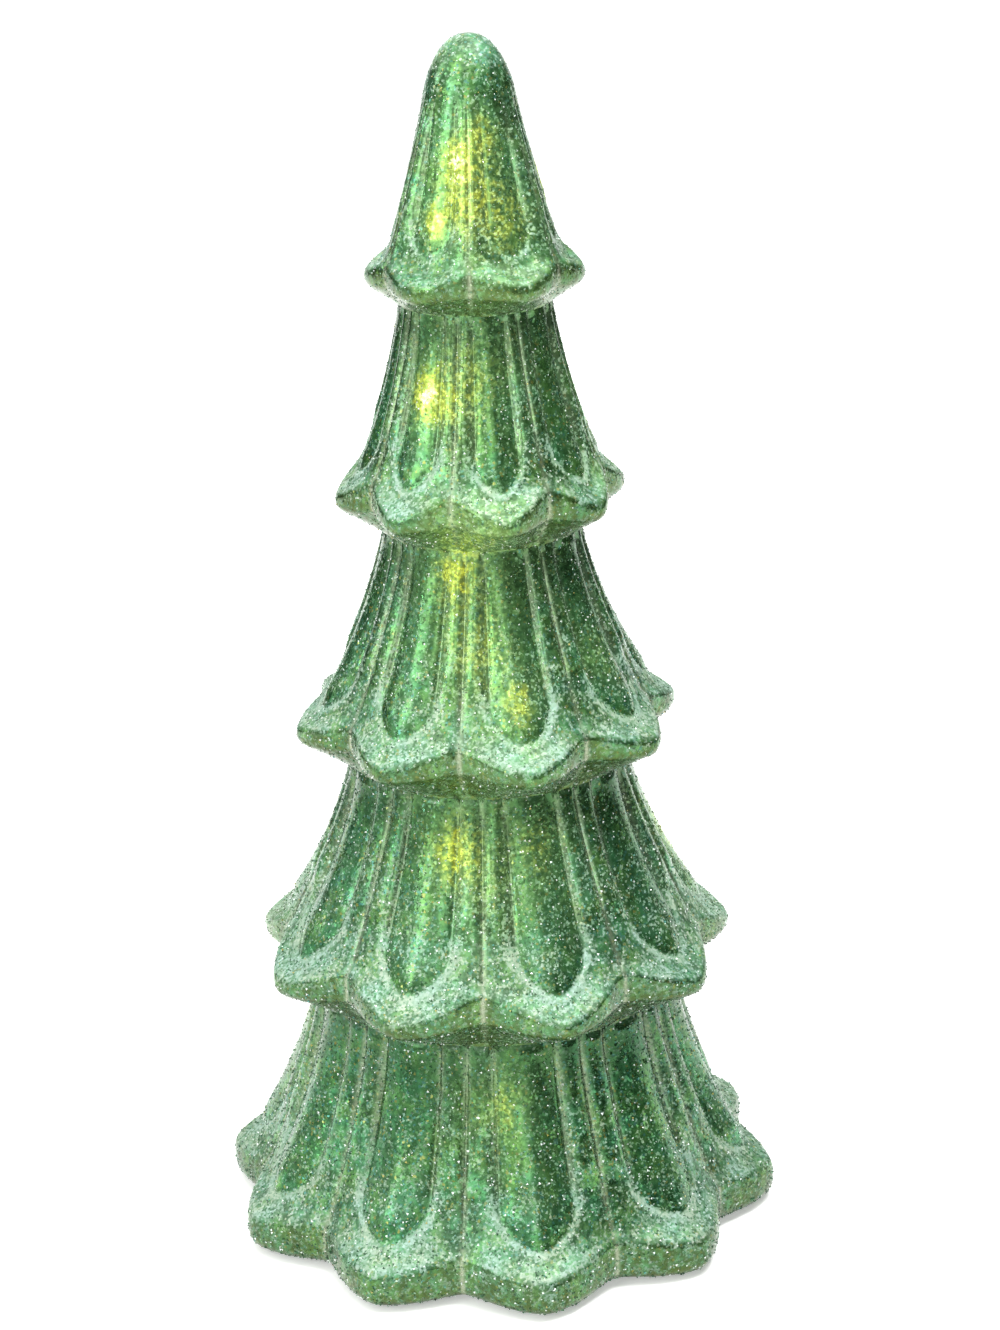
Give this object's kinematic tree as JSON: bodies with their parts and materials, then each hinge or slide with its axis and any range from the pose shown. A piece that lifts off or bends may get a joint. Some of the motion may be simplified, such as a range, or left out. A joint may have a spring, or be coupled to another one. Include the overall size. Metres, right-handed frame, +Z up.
{
  "type": "light-up glass christmas tree",
  "caption": "Tiered green glass Christmas tree with scalloped, fluted skirts, lit from inside by a lamp string on a battery base with a hinged door and a slide switch.",
  "frame": {"origin": "on the table, under the middle of the tree", "axes": "+Z up along the tree's axis, -Y towards the front, +X to the viewer's right"},
  "size_m": [0.1432, 0.1436, 0.305],
  "materials": {
    "glitter_glass": "green lacquered glass covered with fine clear glitter",
    "silicone": "matt translucent silicone",
    "base_plastic": "fine spark texture",
    "foot_rubber": "matt",
    "cover_plastic": "satin white",
    "screw_steel": "zinc plated",
    "cell_can": "foil sleeve",
    "contact_nickel": "nickel plated",
    "slider_plastic": "satin",
    "board_laminate": "solder mask",
    "chip_resin": "matt",
    "capacitor_sleeve": "shrink sleeve",
    "resistor_coat": "lacquer",
    "red_insulation": "satin",
    "black_insulation": "satin",
    "white_insulation": "satin",
    "clear_acrylic": "clear polished",
    "lamp_wire": "enamelled copper",
    "lamp_resin": "clear resin, lit warm yellow"
  },
  "bodies": {
    "tree": {"glass_tree": "glitter_glass", "seal_ring": "silicone", "base_plate": "base_plastic", "rubber_feet": "foot_rubber", "inner_cover": "cover_plastic", "cover_screws": "screw_steel", "hinge_pin": "screw_steel", "battery_1": "cell_can", "battery_2": "cell_can", "battery_3": "cell_can", "contact_springs": "contact_nickel", "contact_plates": "contact_nickel", "switch_body": "contact_nickel", "switch_screws": "screw_steel", "circuit_board": "board_laminate", "board_screws": "screw_steel", "timer_chip": "chip_resin", "capacitor": "capacitor_sleeve", "crystal_can": "contact_nickel", "resistors": "resistor_coat", "battery_lead_red": "red_insulation", "battery_lead_black": "black_insulation", "switch_leads": "white_insulation", "light_mast": "clear_acrylic", "mast_cap": "cover_plastic", "light_string": "lamp_wire", "lamp_beads": "lamp_resin"},
    "door": {"battery_door": "base_plastic"},
    "slider": {"switch_slider": "slider_plastic"}
  },
  "joints": [
    {"name": "door_hinge", "type": "hinge", "parent": "tree", "child": "door", "pos_m": [0, -0.02675, 0.0037], "axis": [-1, 0, 0], "range_deg": [0, 105]},
    {"name": "switch_slide", "type": "slide", "parent": "tree", "child": "slider", "axis": [1, 0, 0], "range_m": [0, 0.004]}
  ]
}
